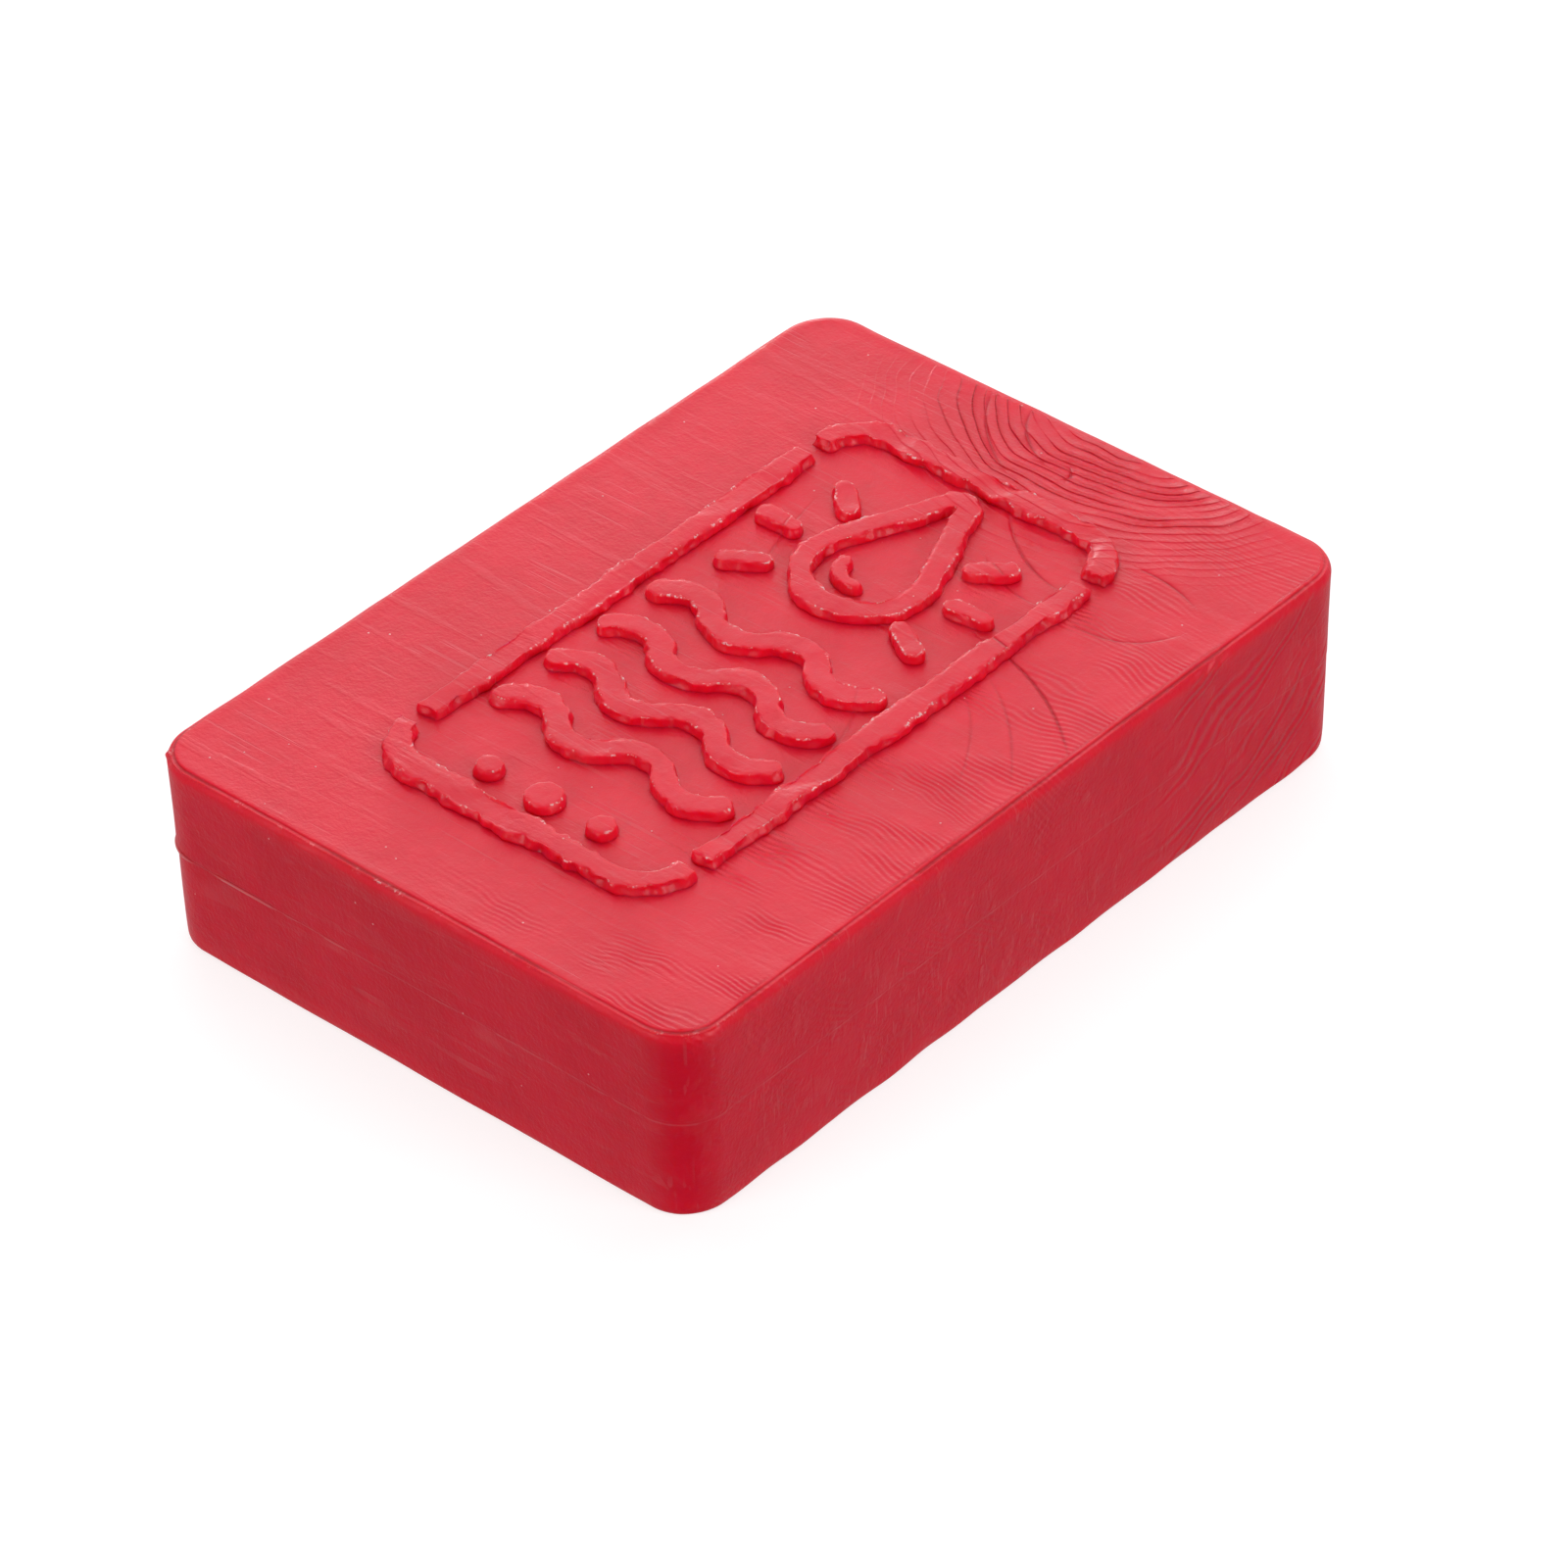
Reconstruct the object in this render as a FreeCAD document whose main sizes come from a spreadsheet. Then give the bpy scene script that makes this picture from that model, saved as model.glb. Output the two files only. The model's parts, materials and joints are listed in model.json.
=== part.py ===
import FreeCAD, Part

# Clay bar: a hand-sized block of detailing clay, cast in a two-part mould.
# Frame: millimetres, +Z up, +Y along the bar, origin at the middle of the foot.
# The block is made as the two halves that meet at the mould's seam. The raised
# emblem stands on the top face as separate ridges: a border round a drop of
# water with strokes of shine, four waves and three bubbles.

import math
import os
import re

import Sketcher
from FreeCAD import Vector

os.makedirs("parts", exist_ok=True)
doc = FreeCAD.newDocument("clay_bar")
parts = []


# ---------------------------------------------------------------- driving sizes

SIZES = [
    ("bar_width", 53.0, "across the top outline, X"),
    ("bar_length", 75.0, "along the top outline, Y"),
    ("bar_height", 17.0, "foot to flat top face"),
    ("seam_level", 8.8, "foot to the mould's seam"),
    ("side_lean", 0.5, "how far each side leans in from top to foot"),
    ("corner_radius", 4.2, "upright corners, at the top outline"),
    ("top_round", 0.8, "round along the top edge"),
    ("foot_round", 0.5, "round along the foot edge"),
    ("relief_height", 0.85, "ridges above the top face"),
    ("border_width", 29.0, "emblem border, outside, X"),
    ("border_length", 55.0, "emblem border, outside, Y"),
    ("border_stroke", 2.0, "width of the border's ridge"),
    ("border_corner", 5.0, "outside radius of the border's corners"),
    ("border_gap", 1.5, "between a corner and a side rail"),
    ("emblem_clearance", 1.1, "border's inner edge to what it surrounds"),
    ("drop_radius", 4.0, "inside radius of the drop's bulb"),
    ("drop_rise", 10.2, "bulb's centre to the inside of the tip"),
    ("drop_stroke", 1.9, "width of the drop's ridge"),
    ("highlight_radius", 2.0, "middle line of the curl inside the drop"),
    ("highlight_stroke", 1.2, "width of that curl"),
    ("shine_clearance", 1.2, "drop's outer edge to a stroke of shine"),
    ("shine_stroke", 1.5, "width of a stroke of shine"),
    ("wave_rise", 1.2, "a crest above the wave's middle line"),
    ("wave_stroke", 2.0, "width of a wave's ridge"),
    ("bubble_radius", 1.5, "the middle bubble"),
    ("side_bubble_radius", 1.1, "the bubble on each side of it"),
    ("bubble_spacing", 5.5, "centre to centre"),
]
WAVES = 4
ARCS_PER_WAVE = 4
SHINE_ANGLES = {"low": -30.0, "mid": 5.0, "high": 40.0}
HIGHLIGHT_START = 185.0
HIGHLIGHT_END = 285.0

sheet = doc.addObject("Spreadsheet::Sheet", "sizes")
for row, (alias, number, meaning) in enumerate(SIZES, start=1):
    sheet.set(f"A{row}", alias)
    sheet.set(f"B{row}", str(number))
    sheet.set(f"C{row}", meaning)
    sheet.setAlias(f"B{row}", alias)
doc.recompute()

ANY_SIZE = re.compile(r"\b(" + "|".join(alias for alias, _, _ in SIZES) + r")\b")


def formula(text):
    """The expression engine's form of a formula of size names."""
    return ANY_SIZE.sub(r"sizes.\1", text)


def value(text):
    """The number that a formula of size names comes to, in millimetres."""
    return float(sheet.evalExpression(formula(text)))


def bind(thing, **places):
    """Binds properties to formulas; Base_x stands for Placement.Base.x and so on."""
    for name, text in places.items():
        thing.setExpression(name.replace("Base_", "Placement.Base."), formula(text))


def keep(piece):
    """Lists a finished sub-part for the final checks and the export."""
    piece.Label = piece.Name
    parts.append(piece)
    return piece


# ---------------------------------------------------------------- sketch helpers

ORIGIN = (-1, 1)
START, END, CENTRE = 1, 2, 3


def dimension(sketch, kind, *where, text):
    """Adds a dimension and binds it. Its first number only starts the solver."""
    index = sketch.addConstraint(Sketcher.Constraint(kind, *where, value(text)))
    sketch.renameConstraint(index, f"{kind}_{index}")
    sketch.setExpression(f"Constraints.{kind}_{index}", formula(text))


def place_point(sketch, geometry, point, x_text, y_text):
    dimension(sketch, "DistanceX", *ORIGIN, geometry, point, text=x_text)
    dimension(sketch, "DistanceY", *ORIGIN, geometry, point, text=y_text)


def arc(centre, radius, start_degrees, end_degrees):
    circle = Part.Circle(Vector(*centre, 0), Vector(0, 0, 1), radius)
    return Part.ArcOfCircle(circle, math.radians(start_degrees), math.radians(end_degrees))


def line(start, end):
    return Part.LineSegment(Vector(*start, 0), Vector(*end, 0))


def rounded_rectangle(sketch, width_text, length_text, radius_text):
    """Four arcs round the origin, joined by four tangent lines."""
    x = value(width_text) / 2 - value(radius_text)
    y = value(length_text) / 2 - value(radius_text)
    r = value(radius_text)
    corners = [(x, y), (-x, y), (-x, -y), (x, -y)]
    for quarter, centre in enumerate(corners):
        sketch.addGeometry(arc(centre, r, 90 * quarter, 90 * quarter + 90))
    for quarter, (cx, cy) in enumerate(corners):
        across = math.radians(90 * quarter + 90)
        start = (cx + r * math.cos(across), cy + r * math.sin(across))
        nx, ny = corners[(quarter + 1) % 4]
        end = (nx + r * math.cos(across), ny + r * math.sin(across))
        side = sketch.addGeometry(line(start, end))
        sketch.addConstraint(Sketcher.Constraint("Tangent", quarter, END, side, START))
        sketch.addConstraint(Sketcher.Constraint("Tangent", side, END, (quarter + 1) % 4, START))
    for quarter, (cx, cy) in enumerate(corners):
        half_x = f"({width_text}) / 2 - ({radius_text})"
        half_y = f"({length_text}) / 2 - ({radius_text})"
        place_point(
            sketch, quarter, CENTRE,
            half_x if cx > 0 else f"-({half_x})",
            half_y if cy > 0 else f"-({half_y})",
        )
    dimension(sketch, "Radius", 0, text=radius_text)


# ---------------------------------------------------------------- the block

def outline_at(level_text):
    """Width, length and corner radius of the block's leaning sides at a level."""
    lean = f"(side_lean * (1 - ({level_text}) / bar_height))"
    return f"bar_width - 2 * {lean}", f"bar_length - 2 * {lean}", f"corner_radius - {lean}"


def slab(name, floor_text, height_text, edge_at_top, round_text):
    """One half of the block: a tapered pad with its outer rim rounded."""
    body = doc.addObject("PartDesign::Body", name)
    ground = next(f for f in body.Origin.OriginFeatures if f.Role == "XY_Plane")
    sketch = body.newObject("Sketcher::SketchObject", f"{name}_outline")
    sketch.AttachmentSupport = (ground, [""])
    sketch.MapMode = "FlatFace"
    sketch.setExpression("AttachmentOffset.Base.z", formula(floor_text))
    rounded_rectangle(sketch, *outline_at(floor_text))

    pad = body.newObject("PartDesign::Pad", f"{name}_pad")
    pad.Profile = sketch
    bind(pad, Length=height_text, TaperAngle="atan(side_lean / bar_height)")
    sketch.Visibility = False
    doc.recompute()

    rim_face = max if edge_at_top else min
    rim = rim_face(enumerate(pad.Shape.Faces, start=1), key=lambda item: item[1].CenterOfMass.z)
    rounding = body.newObject("PartDesign::Fillet", f"{name}_round")
    rounding.Base = (pad, [f"Face{rim[0]}"])
    bind(rounding, Radius=round_text)
    return keep(body)


slab("lower_slab", "0", "seam_level", False, "foot_round")
slab("upper_slab", "seam_level", "bar_height - seam_level", True, "top_round")


# ---------------------------------------------------------------- emblem border

def rail(name, x_size, y_size, x_centre, y_centre):
    """A straight ridge of the border, square at both ends."""
    box = doc.addObject("Part::Box", name)
    bind(box, Length=x_size, Width=y_size, Height="relief_height", Base_z="bar_height")
    bind(box, Base_x=f"{x_centre} - ({x_size}) / 2", Base_y=f"{y_centre} - ({y_size}) / 2")
    return keep(box)


END_RAIL = "border_width - 2 * border_corner"
SIDE_RAIL = "border_length - 2 * border_corner - 2 * border_gap"
TO_END_RAIL = "(border_length - border_stroke) / 2"
TO_SIDE_RAIL = "(border_width - border_stroke) / 2"

rail("far_rail", END_RAIL, "border_stroke", "0", TO_END_RAIL)
rail("near_rail", END_RAIL, "border_stroke", "0", f"-{TO_END_RAIL}")
rail("left_rail", "border_stroke", SIDE_RAIL, f"-{TO_SIDE_RAIL}", "0")
rail("right_rail", "border_stroke", SIDE_RAIL, TO_SIDE_RAIL, "0")


def border_corner(name, x_sign, y_sign, turn):
    """A quarter ring that meets an end rail and stops short of a side rail."""
    outer = doc.addObject("Part::Cylinder", f"{name}_outer")
    bind(outer, Radius="border_corner", Height="relief_height")
    inner = doc.addObject("Part::Cylinder", f"{name}_inner")
    bind(inner, Radius="border_corner - border_stroke", Height="relief_height")
    for quarter in (outer, inner):
        quarter.Angle = 90
    ring = doc.addObject("Part::Cut", name)
    ring.Base = outer
    ring.Tool = inner
    ring.Placement.Rotation = FreeCAD.Rotation(Vector(0, 0, 1), turn)
    bind(
        ring,
        Base_x=f"{x_sign} * (border_width / 2 - border_corner)",
        Base_y=f"{y_sign} * (border_length / 2 - border_corner)",
        Base_z="bar_height",
    )
    return keep(ring)


border_corner("far_right_corner", 1, 1, 0)
border_corner("far_left_corner", -1, 1, 90)
border_corner("near_left_corner", -1, -1, 180)
border_corner("near_right_corner", 1, -1, 270)


# ---------------------------------------------------------------- ridges along a line

def sketch_on_top(name):
    """An empty sketch that lies on the block's top face."""
    sketch = doc.addObject("Sketcher::SketchObject", f"{name}_line")
    bind(sketch, Base_z="bar_height")
    return sketch


def raised(name, outline):
    """Raises a closed outline into a flat-topped ridge."""
    solid = doc.addObject("Part::Extrusion", name)
    solid.Base = outline
    solid.DirMode = "Custom"
    solid.Dir = Vector(0, 0, 1)
    solid.Solid = True
    bind(solid, LengthFwd="relief_height")
    return solid


def ridge(name, sketch, offset_text):
    """Thickens the sketch's curved line by an offset and raises it."""
    outline = doc.addObject("Part::Offset2D", f"{name}_outline")
    outline.Source = sketch
    outline.Join = "Arc"
    outline.Fill = True
    bind(outline, Value=offset_text)
    return raised(name, outline)


# ---------------------------------------------------------------- drop of water

DROP_TIP = "border_length / 2 - border_stroke - emblem_clearance - drop_stroke"
DROP_CENTRE = f"({DROP_TIP} - drop_rise)"
DROP_OUTSIDE = "(drop_radius + drop_stroke)"

drop_sketch = sketch_on_top("drop")
bulb_y = value(DROP_CENTRE)
bulb_r = value("drop_radius")
tip = (0.0, value(DROP_TIP))
# A straight flank from the tip touches the bulb where its radius turns square to it.
touch = math.degrees(math.asin(bulb_r / value("drop_rise")))
right_touch = (bulb_r * math.cos(math.radians(touch)), bulb_y + bulb_r * math.sin(math.radians(touch)))
left_touch = (-right_touch[0], right_touch[1])
drop_sketch.addGeometry(arc((0, bulb_y), bulb_r, 180 - touch, 360 + touch))
drop_sketch.addGeometry(line(right_touch, tip))
drop_sketch.addGeometry(line(tip, left_touch))
drop_sketch.addConstraint(Sketcher.Constraint("Tangent", 0, END, 1, START))
drop_sketch.addConstraint(Sketcher.Constraint("Coincident", 1, END, 2, START))
drop_sketch.addConstraint(Sketcher.Constraint("Tangent", 2, END, 0, START))
place_point(drop_sketch, 0, CENTRE, "0", DROP_CENTRE)
place_point(drop_sketch, 1, END, "0", DROP_TIP)
dimension(drop_sketch, "Radius", 0, text="drop_radius")

drop_ring = ridge("drop_ring", drop_sketch, "drop_stroke")


def drop_half(name, x_start):
    """The part of the drop's ring on one side of the bar's middle plane."""
    side = doc.addObject("Part::Box", f"{name}_side")
    bind(side, Length="border_width", Width="border_length", Height="relief_height")
    bind(side, Base_x=x_start, Base_y="-border_length / 2", Base_z="bar_height")
    half = doc.addObject("Part::Common", name)
    half.Base = drop_ring
    half.Tool = side
    return keep(half)


drop_half("drop_left", "-border_width")
drop_half("drop_right", "0")

curl = sketch_on_top("highlight")
curl.addGeometry(arc((0, bulb_y), value("highlight_radius"), HIGHLIGHT_START, HIGHLIGHT_END))
place_point(curl, 0, CENTRE, "0", DROP_CENTRE)
for point, angle in ((START, HIGHLIGHT_START), (END, HIGHLIGHT_END)):
    dimension(
        curl, "DistanceX", *ORIGIN, 0, point,
        text=f"highlight_radius * cos({angle} deg)",
    )
dimension(curl, "Radius", 0, text="highlight_radius")
keep(ridge("highlight", curl, "highlight_stroke / 2"))


# ---------------------------------------------------------------- strokes of shine

SHINE_FROM = f"({DROP_OUTSIDE} + shine_clearance + shine_stroke / 2)"
SHINE_TO = "(border_width / 2 - border_stroke - emblem_clearance - shine_stroke / 2)"


def shine(name, angle):
    """A short round-ended stroke that points away from the middle of the drop's bulb."""
    sketch = sketch_on_top(name)
    radius = value("shine_stroke") / 2
    across = Vector(-math.sin(math.radians(angle)), math.cos(math.radians(angle)))
    ends = []
    for reach, turn in ((SHINE_FROM, 90), (SHINE_TO, -90)):
        x_text = f"{reach} * cos({angle} deg)"
        y_text = f"{DROP_CENTRE} + {reach} * sin({angle} deg)"
        centre = Vector(value(x_text), value(y_text))
        end = sketch.addGeometry(arc((centre.x, centre.y), radius, angle + turn, angle + turn + 180))
        place_point(sketch, end, CENTRE, x_text, y_text)
        dimension(sketch, "Radius", end, text="shine_stroke / 2")
        ends.append(centre)
    inner, outer = ends
    for side, (first, second) in ((1, (outer, inner)), (-1, (inner, outer))):
        shift = across * radius * side
        sketch.addGeometry(Part.LineSegment(first + shift, second + shift))
    for first, second in ((1, 2), (2, 0), (0, 3), (3, 1)):
        sketch.addConstraint(Sketcher.Constraint("Tangent", first, END, second, START))
    return keep(raised(name, sketch))


for side_name, opening in (("right", 0), ("left", 180)):
    for height_name, angle in SHINE_ANGLES.items():
        direction = angle if opening == 0 else opening - angle
        shine(f"shine_{side_name}_{height_name}", direction)


# ---------------------------------------------------------------- waves

BUBBLE_ROW = "(-border_length / 2 + border_stroke + emblem_clearance + bubble_radius)"
WAVE_SPAN = "(border_width - 2 * border_stroke - 2 * emblem_clearance - wave_stroke)"
WAVE_PITCH = f"(({DROP_CENTRE} - {DROP_OUTSIDE} - {BUBBLE_ROW} - bubble_radius) / {WAVES + 1})"
HALF_CHORD = f"({WAVE_SPAN} / {2 * ARCS_PER_WAVE})"
WAVE_RADIUS = f"(({HALF_CHORD} * {HALF_CHORD} + wave_rise * wave_rise) / (2 * wave_rise))"


def wave(name, number):
    """Arcs of one radius that bulge up and down in turn, end to end."""
    sketch = sketch_on_top(name)
    level_text = f"{DROP_CENTRE} - {DROP_OUTSIDE} - {number} * {WAVE_PITCH}"
    level = value(level_text)
    radius = value(WAVE_RADIUS)
    half_angle = math.degrees(math.asin(value(HALF_CHORD) / radius))
    for step in range(ARCS_PER_WAVE):
        x = value(f"{WAVE_SPAN} * {(step + 0.5) / ARCS_PER_WAVE - 0.5}")
        up = 1 if step % 2 == 0 else -1
        centre = (x, level + up * (value("wave_rise") - radius))
        middle = 90 * up
        sketch.addGeometry(arc(centre, radius, middle - half_angle, middle + half_angle))
    for step in range(ARCS_PER_WAVE):
        left, right = (END, START) if step % 2 == 0 else (START, END)
        if step == 0:
            place_point(sketch, step, left, f"{WAVE_SPAN} * -0.5", level_text)
        else:
            earlier = END if right == END else START
            sketch.addConstraint(Sketcher.Constraint("Coincident", step - 1, left, step, left))
        place_point(sketch, step, right, f"{WAVE_SPAN} * {(step + 1) / ARCS_PER_WAVE - 0.5}", level_text)
        dimension(sketch, "Radius", step, text=WAVE_RADIUS)
    return keep(ridge(name, sketch, "wave_stroke / 2"))


for number in range(1, WAVES + 1):
    wave(f"wave_{number}", number)


# ---------------------------------------------------------------- bubbles

for name, place, radius_text in (
    ("bubble_left", -1, "side_bubble_radius"),
    ("bubble_middle", 0, "bubble_radius"),
    ("bubble_right", 1, "side_bubble_radius"),
):
    bubble = doc.addObject("Part::Cylinder", name)
    bind(bubble, Radius=radius_text, Height="relief_height")
    bind(bubble, Base_x=f"{place} * bubble_spacing", Base_y=BUBBLE_ROW, Base_z="bar_height")
    keep(bubble)


# ---------------------------------------------------------------- check and export

doc.recompute()
for item in doc.Objects:
    if {"Invalid", "Error"} & set(item.State):
        raise RuntimeError(f"{item.Name} did not recompute: {item.State}")
for piece in parts:
    if piece.Shape.isNull() or not piece.Shape.isValid() or len(piece.Shape.Solids) != 1:
        raise RuntimeError(f"{piece.Label} is not one valid solid")
for piece in parts:
    piece.Shape.exportStep(f"parts/{piece.Label}.step")
    box = piece.Shape.BoundBox
    print(
        f"{piece.Label:18s} {piece.Shape.Volume:10.2f} mm3"
        f"  x {box.XMin:7.2f} {box.XMax:7.2f}  y {box.YMin:7.2f} {box.YMax:7.2f}"
        f"  z {box.ZMin:6.2f} {box.ZMax:6.2f}"
    )
print(len(parts), "sub-parts")
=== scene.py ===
# %% [markdown]
# # A bar of detailing clay
# This lesson dresses a small moulded block: one bar of red clay, used on wet car paint.
# The CAD frame gives two slabs that meet at the mould's seam, and the ridges of an emblem.
# Every size comes from that frame, in metres. Only the marks of wear and of the mould are
# given one by one, and those are written in millimetres, because that is how they are seen.

# %% Load the fixed frame
import json
import math

import bpy
import numpy as np
from mathutils import Matrix, Vector, noise

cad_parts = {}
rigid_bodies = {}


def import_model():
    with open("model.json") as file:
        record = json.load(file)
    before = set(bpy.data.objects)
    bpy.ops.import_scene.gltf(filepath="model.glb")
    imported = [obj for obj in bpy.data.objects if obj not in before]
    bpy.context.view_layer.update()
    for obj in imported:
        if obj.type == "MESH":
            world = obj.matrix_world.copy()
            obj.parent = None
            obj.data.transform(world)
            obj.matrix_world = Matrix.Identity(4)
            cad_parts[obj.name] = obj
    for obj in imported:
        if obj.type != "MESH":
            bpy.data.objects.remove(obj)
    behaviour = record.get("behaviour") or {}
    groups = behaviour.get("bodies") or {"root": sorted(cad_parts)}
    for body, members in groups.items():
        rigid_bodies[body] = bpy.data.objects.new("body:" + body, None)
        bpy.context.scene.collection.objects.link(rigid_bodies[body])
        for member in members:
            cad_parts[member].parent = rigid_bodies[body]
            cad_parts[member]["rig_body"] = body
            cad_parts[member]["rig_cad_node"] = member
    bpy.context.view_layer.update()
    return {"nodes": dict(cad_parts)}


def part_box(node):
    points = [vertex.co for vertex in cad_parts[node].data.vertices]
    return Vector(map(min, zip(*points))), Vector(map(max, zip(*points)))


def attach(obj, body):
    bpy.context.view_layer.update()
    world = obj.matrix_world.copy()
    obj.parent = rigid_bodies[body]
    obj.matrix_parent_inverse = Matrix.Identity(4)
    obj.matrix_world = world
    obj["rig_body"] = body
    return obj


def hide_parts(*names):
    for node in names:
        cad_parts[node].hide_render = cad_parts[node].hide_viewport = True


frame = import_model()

MM = 0.001
print("nodes in the frame:", len(frame["nodes"]))


# %% [markdown]
# ## Sizes of the block
# The real bar is a little narrower at its foot, because a mould needs draft to let go.
# The frame tells the width at the top and at the seam, so the lean can be worked out
# instead of guessed. All the skin detail is kept a hair inside the CAD surface.

# %% Measure the block
SKIN = 0.03 * MM
seam_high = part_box("lower_slab")[1]
seam_low, top_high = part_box("upper_slab")
SEAM_Z = seam_low.z
TOP_Z = top_high.z
HALF_X = top_high.x - SKIN
HALF_Y = top_high.y - SKIN
LEAN = (top_high.x - seam_high.x) / (TOP_Z - SEAM_Z)
CORNER = 4.2 * MM
TOP_ROUND = 0.8 * MM
FOOT_ROUND = 0.5 * MM
print("block", [round(v / MM, 2) for v in (2 * HALF_X, 2 * HALF_Y, TOP_Z)])
print("seam at", round(SEAM_Z / MM, 2))


# %% [markdown]
# ## Small tools
# Blender's operators act on whatever is selected, so each step first picks one object alone.
# The place of every vertex goes in and out of the mesh as one numpy array, because a loop
# over a hundred thousand vertices is slow. Smooth noise gives all the hand-made unevenness,
# and a seed for each use keeps it the same on every run.

# %% Helpers for picking, reading and shaping
def only(obj):
    """Leaves just this object selected and active."""
    bpy.ops.object.select_all(action="DESELECT")
    obj.select_set(True)
    bpy.context.view_layer.objects.active = obj


def read_points(obj):
    """The place of every vertex, one row each."""
    co = np.empty(len(obj.data.vertices) * 3)
    obj.data.vertices.foreach_get("co", co)
    return co.reshape(-1, 3)


def write_points(obj, co):
    """Moves every vertex to its row's place."""
    obj.data.vertices.foreach_set("co", co.ravel())
    obj.data.update()


def read_normals(obj):
    """The direction each vertex faces, one row each."""
    normals = np.empty(len(obj.data.vertices) * 3)
    obj.data.vertices.foreach_get("normal", normals)
    return normals.reshape(-1, 3)


def store(obj, name, numbers):
    """Keeps one number per vertex on the mesh, for the material to read."""
    layer = obj.data.attributes.new(name, "FLOAT", "POINT")
    layer.data.foreach_set("value", np.asarray(numbers, np.float32))


def wander(co, size, seed):
    """Smooth noise from -1 to 1, with features about this size, at each point."""
    shift = Vector((seed * 7.13, seed * 3.71, seed * 5.39))
    return np.array([noise.noise(Vector(p) / size + shift) for p in co])


def ease(low, high, numbers):
    """0 at low, 1 at high and beyond, and a smooth change between. High may be the lower one."""
    t = np.clip((numbers - low) / (high - low), 0, 1)
    return t * t * (3 - 2 * t)


def bump_at(gap, width):
    """1 where the gap is 0, fading to nothing over about this width."""
    return np.exp(-((gap / width) ** 2))


def triangles(obj):
    """How many triangles the faces come to."""
    return sum(len(p.vertices) - 2 for p in obj.data.polygons)


# %% [markdown]
# ## The block's skin
# The bar came out of a mould, so its skin is one surface that wraps the whole block, and the
# seam is only a fine line of flash round it. Subsurface light has to travel through the whole
# thickness too, so both slabs get one skin. A grid is a better start than a cube: its lines
# can be put close together where the clay is wrinkled and far apart where it is smooth.

# %% Lay out the grid of the top face
def grid_lines(ends, steps):
    """Positions between these ends, in mm, with about this step in each span."""
    lines = [np.array([ends[0]])]
    for start, stop, step in zip(ends, ends[1:], steps):
        lines.append(np.linspace(start, stop, int(round((stop - start) / step)) + 1)[1:])
    return np.concatenate(lines) * MM


flat_x = HALF_X - TOP_ROUND
flat_y = HALF_Y - TOP_ROUND
X_STOPS = (-flat_x / MM, -23.2, -9, 16, flat_x / MM)
X_STEPS = (0.3, 0.6, 0.225, 0.26)
Y_STOPS = (-flat_y / MM, -34, 23.5, flat_y / MM)
Y_STEPS = (0.25, 0.37, 0.175)
x_lines = grid_lines(X_STOPS, X_STEPS)
y_lines = grid_lines(Y_STOPS, Y_STEPS)
bpy.ops.object.select_all(action="DESELECT")
bpy.ops.mesh.primitive_grid_add(
    x_subdivisions=len(x_lines) - 1, y_subdivisions=len(y_lines) - 1, size=2, location=(0, 0, TOP_Z)
)
block = bpy.context.active_object
block.name = "clay_block"
bpy.ops.object.transform_apply(location=True, rotation=True, scale=True)
co = read_points(block)
column = np.rint((co[:, 0] + 1) / 2 * (len(x_lines) - 1)).astype(int)
row = np.rint((co[:, 1] + 1) / 2 * (len(y_lines) - 1)).astype(int)
co[:, 0] = x_lines[column]
co[:, 1] = y_lines[row]

# %% Round the grid's four corners
# A square patch is squeezed into a quarter disc, so the rows stay smooth.
flat_corner = CORNER - TOP_ROUND
core_x = flat_x - flat_corner
core_y = flat_y - flat_corner
u = np.clip((np.abs(co[:, 0]) - core_x) / flat_corner, 0, 1)
v = np.clip((np.abs(co[:, 1]) - core_y) / flat_corner, 0, 1)
in_corner = (u > 0) & (v > 0)
round_x = core_x + flat_corner * u * np.sqrt(1 - v * v / 2)
round_y = core_y + flat_corner * v * np.sqrt(1 - u * u / 2)
co[in_corner, 0] = (np.sign(co[:, 0]) * round_x)[in_corner]
co[in_corner, 1] = (np.sign(co[:, 1]) * round_y)[in_corner]
write_points(block, co)
print("top grid", len(x_lines), "by", len(y_lines))


# %% [markdown]
# ## From a flat grid to a block
# The walls of the real bar are the sides of the mould. One way is to model them apart and
# bridge the two loops. It is simpler to extrude the grid's outline straight down, ring by
# ring, and then push each ring out to the mould's profile. The rings lie close together at
# the rim, at the seam and at the foot, where the shape turns, and far apart between.

# %% Extrude the rim down, ring by ring
RIM_ANGLES = range(9, 91, 9)
FOOT_ANGLES = (0, 18, 36, 54, 72, 90)
SEAM_RINGS = (-0.35, -0.22, -0.14, -0.07, 0, 0.05, 0.1, 0.2, 0.35)
WALL_STEP = 0.5 * MM
UNDERSIDE_SHARES = (0.97, 0.9, 0.75, 0.5, 0.25)


def levels():
    """How far each ring lies below the top, from the rim to the foot."""
    rim = [TOP_ROUND * (1 - math.cos(math.radians(a))) for a in RIM_ANGLES]
    near_seam = [TOP_Z - SEAM_Z + d * MM for d in SEAM_RINGS]
    sides = []
    for start, stop in ((TOP_ROUND, near_seam[0]), (near_seam[-1], TOP_Z - FOOT_ROUND)):
        steps = int(round((stop - start) / WALL_STEP))
        sides.append([start + (stop - start) * i / steps for i in range(1, steps)])
    foot = [TOP_Z - FOOT_ROUND * (1 - math.sin(math.radians(a))) for a in FOOT_ANGLES]
    return rim + sides[0] + near_seam + sides[1] + foot


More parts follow.
